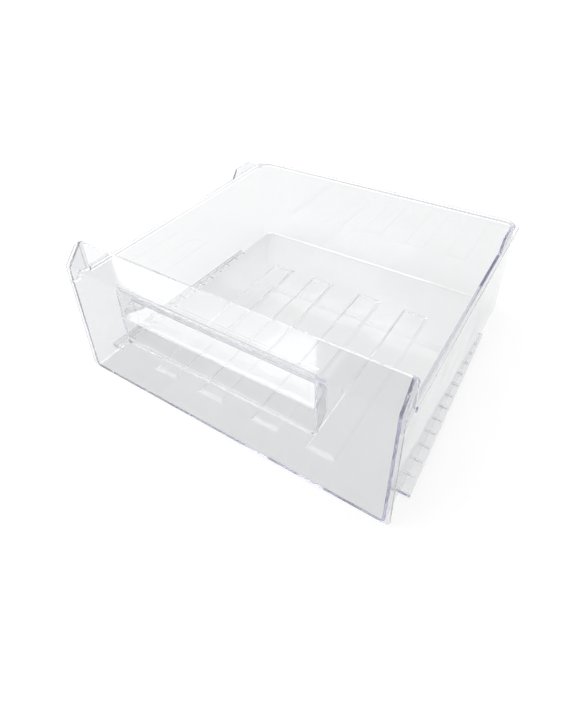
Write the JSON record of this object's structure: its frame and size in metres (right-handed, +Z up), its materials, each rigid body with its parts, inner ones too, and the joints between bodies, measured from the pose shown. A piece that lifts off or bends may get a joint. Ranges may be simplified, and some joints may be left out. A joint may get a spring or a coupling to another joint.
{
  "type": "fridge drawer",
  "caption": "Clear moulded fridge or freezer drawer: open tub with a turned-down rim, slanted front panel with a recessed grip, ribbed side racks and raised floor pads.",
  "frame": {"origin": "centre of the bounding box at its foot, on the surface the drawer stands on", "axes": "+Z up, the front panel faces -Y, +X to the right of a person who stands in front of the panel"},
  "size_m": [0.42, 0.388, 0.172],
  "materials": {
    "clear_plastic": "clear, glossy, with a faint violet tint along the edges"
  },
  "bodies": {
    "root": {"drawer": "clear_plastic"}
  },
  "joints": []
}
